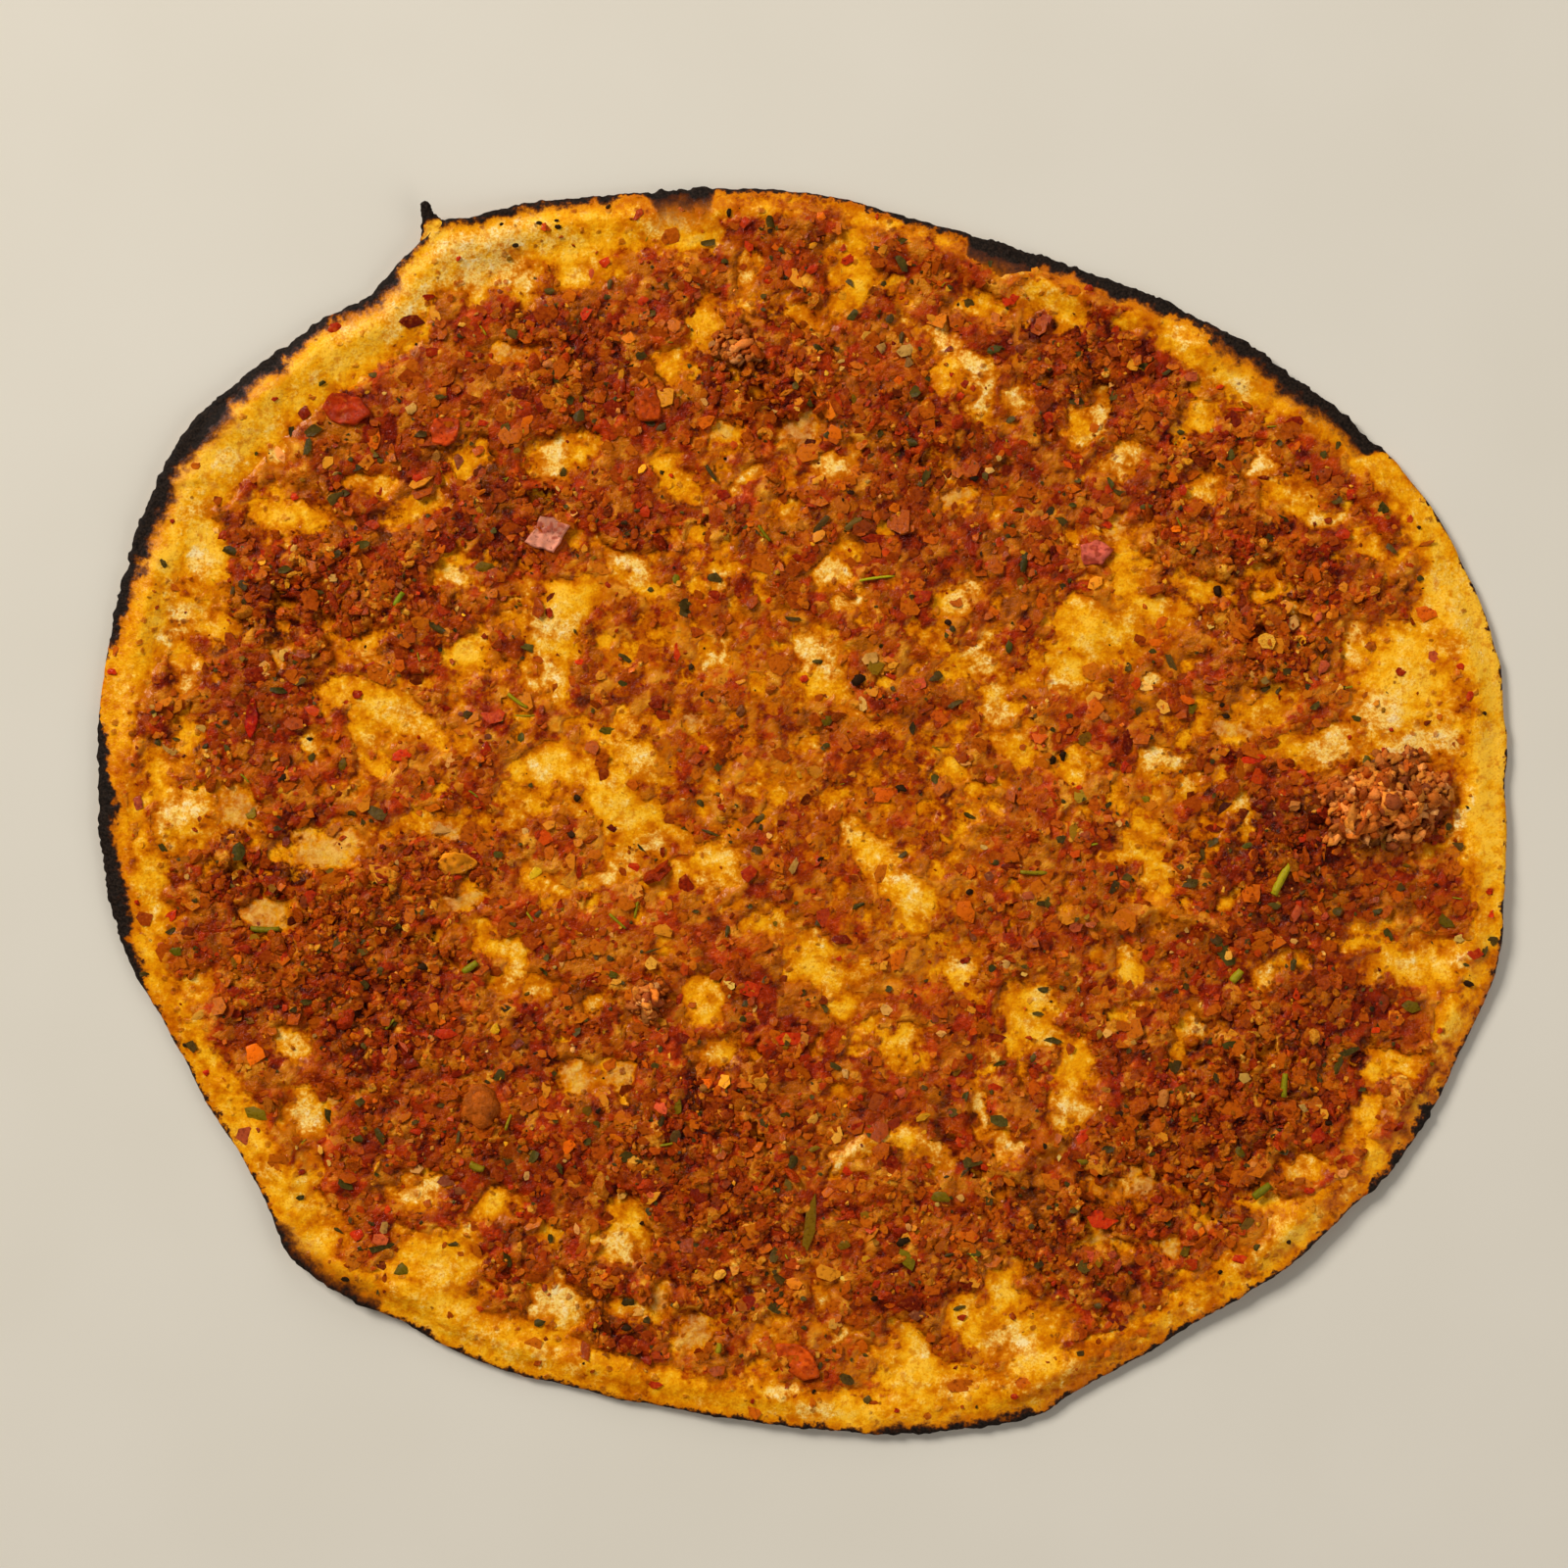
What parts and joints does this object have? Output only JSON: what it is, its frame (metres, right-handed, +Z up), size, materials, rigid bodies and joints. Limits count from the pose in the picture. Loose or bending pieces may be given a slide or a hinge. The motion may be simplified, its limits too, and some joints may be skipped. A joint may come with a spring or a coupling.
{
  "type": "lahmacun",
  "caption": "Thin oval flatbread with a charred edge, baked under a spread of minced meat, tomato, pepper and parsley; lies flat.",
  "frame": {"origin": "under the middle of the bread's bounding box, on the plane the bread lies on", "axes": "+X along the longer diameter, to the right of the picture; +Y towards the top of the picture; +Z up, out of the topped side"},
  "size_m": [0.317, 0.2804, 0.0125],
  "materials": {
    "baked_bread": "baked dough, golden and oily, charred black along parts of the edge",
    "mince_spread": "cooked mince and vegetable paste, coarse and oily",
    "meat_lump": "cooked mince, crumbly, slightly oily",
    "tomato": "cooked tomato, wet",
    "pink_pepper": "cooked pepper, satin, pitted",
    "orange_pepper": "cooked orange pepper, wet",
    "red_pepper": "cooked red pepper skin, wet",
    "yellow_pepper": "cooked yellow pepper, oily"
  },
  "bodies": {
    "root": {"flatbread": "baked_bread", "mince_topping": "mince_spread", "mince_clump": "meat_lump", "mince_lump_low": "meat_lump", "mince_lump_top": "meat_lump", "meatball_piece": "meat_lump", "tomato_piece_1": "tomato", "tomato_piece_2": "tomato", "tomato_piece_3": "tomato", "pepper_dice_1": "pink_pepper", "pepper_dice_2": "pink_pepper", "orange_pepper": "orange_pepper", "pepper_strip": "red_pepper", "yellow_pepper": "yellow_pepper"}
  },
  "joints": []
}
